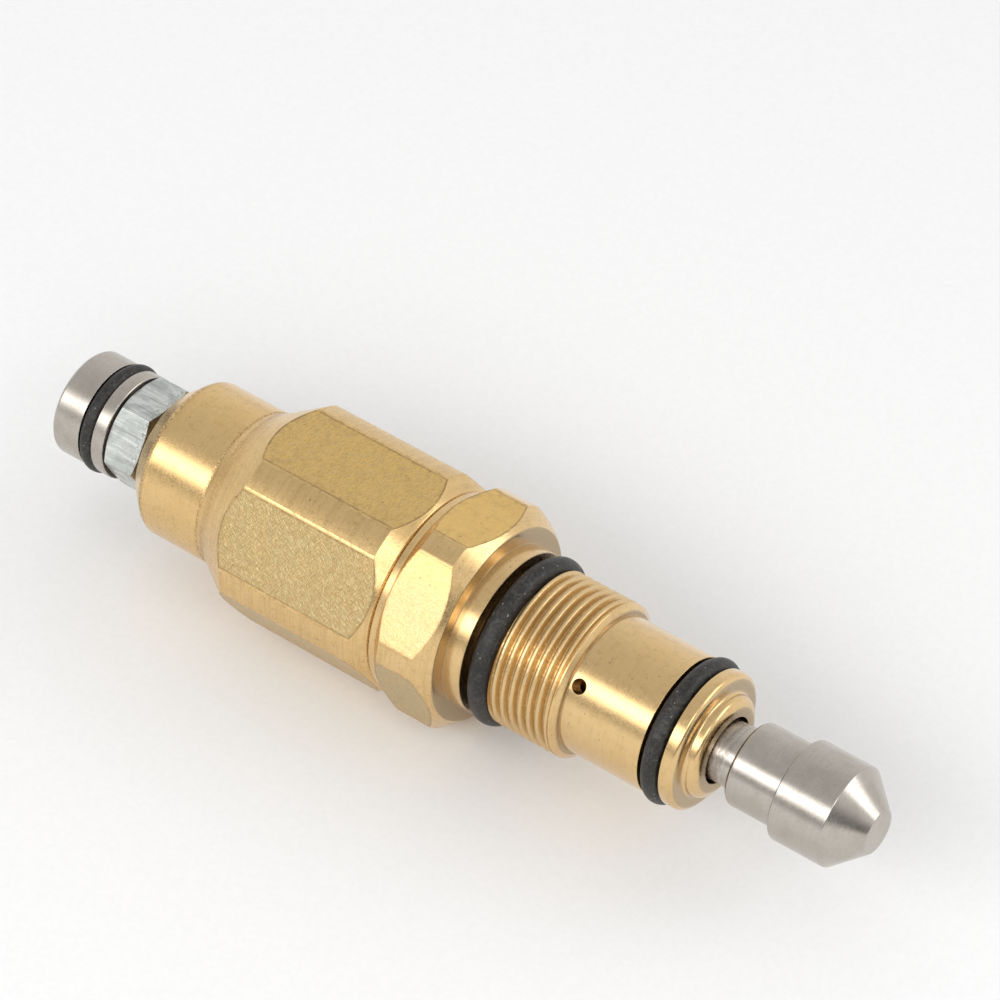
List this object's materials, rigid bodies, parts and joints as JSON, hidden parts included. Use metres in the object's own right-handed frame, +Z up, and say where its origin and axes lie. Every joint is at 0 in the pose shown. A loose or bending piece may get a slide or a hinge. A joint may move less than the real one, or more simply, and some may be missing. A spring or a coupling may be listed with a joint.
{
  "type": "pressure relief valve",
  "caption": "Cartridge pressure relief valve with a threaded brass body, a sprung sliding rod, a conical poppet and a sealed rear piston.",
  "frame": {"origin": "on the valve axis, at the start of the port thread, next to the shoulder seal", "axes": "+X along the valve axis towards the poppet's tip, +Z up from a flat of the housing hexagon, the valve lies on its side"},
  "size_m": [0.093, 0.023, 0.0226],
  "materials": {
    "housing_brass": "satin turned brass",
    "body_brass": "bright turned brass",
    "bronze": "plain bearing bronze",
    "rubber": "matte nitrile",
    "ptfe": "white PTFE",
    "stainless": "fine turned stainless steel",
    "zinc": "bright zinc plate",
    "spring_steel": "oiled spring steel"
  },
  "bodies": {
    "body": {"spring_housing": "housing_brass", "valve_body": "body_brass", "housing_o_ring": "rubber", "shoulder_o_ring": "rubber", "nose_o_ring": "rubber", "front_rod_seal": "rubber", "rear_rod_seal": "rubber", "front_backup_ring": "ptfe", "rear_backup_ring": "ptfe", "lantern_ring": "body_brass", "gland_bush": "bronze", "gland_clip": "spring_steel", "rear_guide_bush": "bronze", "rear_spring_washer": "stainless", "main_spring": "spring_steel"},
    "rod": {"rod": "stainless", "poppet": "stainless", "front_spring_seat": "stainless", "seat_clip": "spring_steel", "preload_shim": "stainless"},
    "adjuster_carrier": {"stop_washer": "zinc"},
    "adjuster": {"adjusting_nut": "zinc", "piston": "stainless", "piston_o_ring": "rubber"}
  },
  "joints": [
    {"name": "rod_slide", "type": "slide", "parent": "body", "child": "rod", "axis": [1, 0, 0], "range_m": [-0.0022, 0], "stiffness_N_per_m": 19000, "deforming": ["main_spring"]},
    {"name": "adjuster_travel", "type": "slide", "parent": "rod", "child": "adjuster_carrier", "axis": [1, 0, 0], "range_m": [-0.001, 0]},
    {"name": "adjuster_turn", "type": "hinge", "parent": "adjuster_carrier", "child": "adjuster", "pos_m": [-0.0463, 0, 0], "axis": [1, 0, 0], "range_deg": [-360, 0]}
  ],
  "couplings": [
    {"joint": "adjuster_travel", "follows": "adjuster_turn", "m_per_rad": 0.00015915}
  ]
}
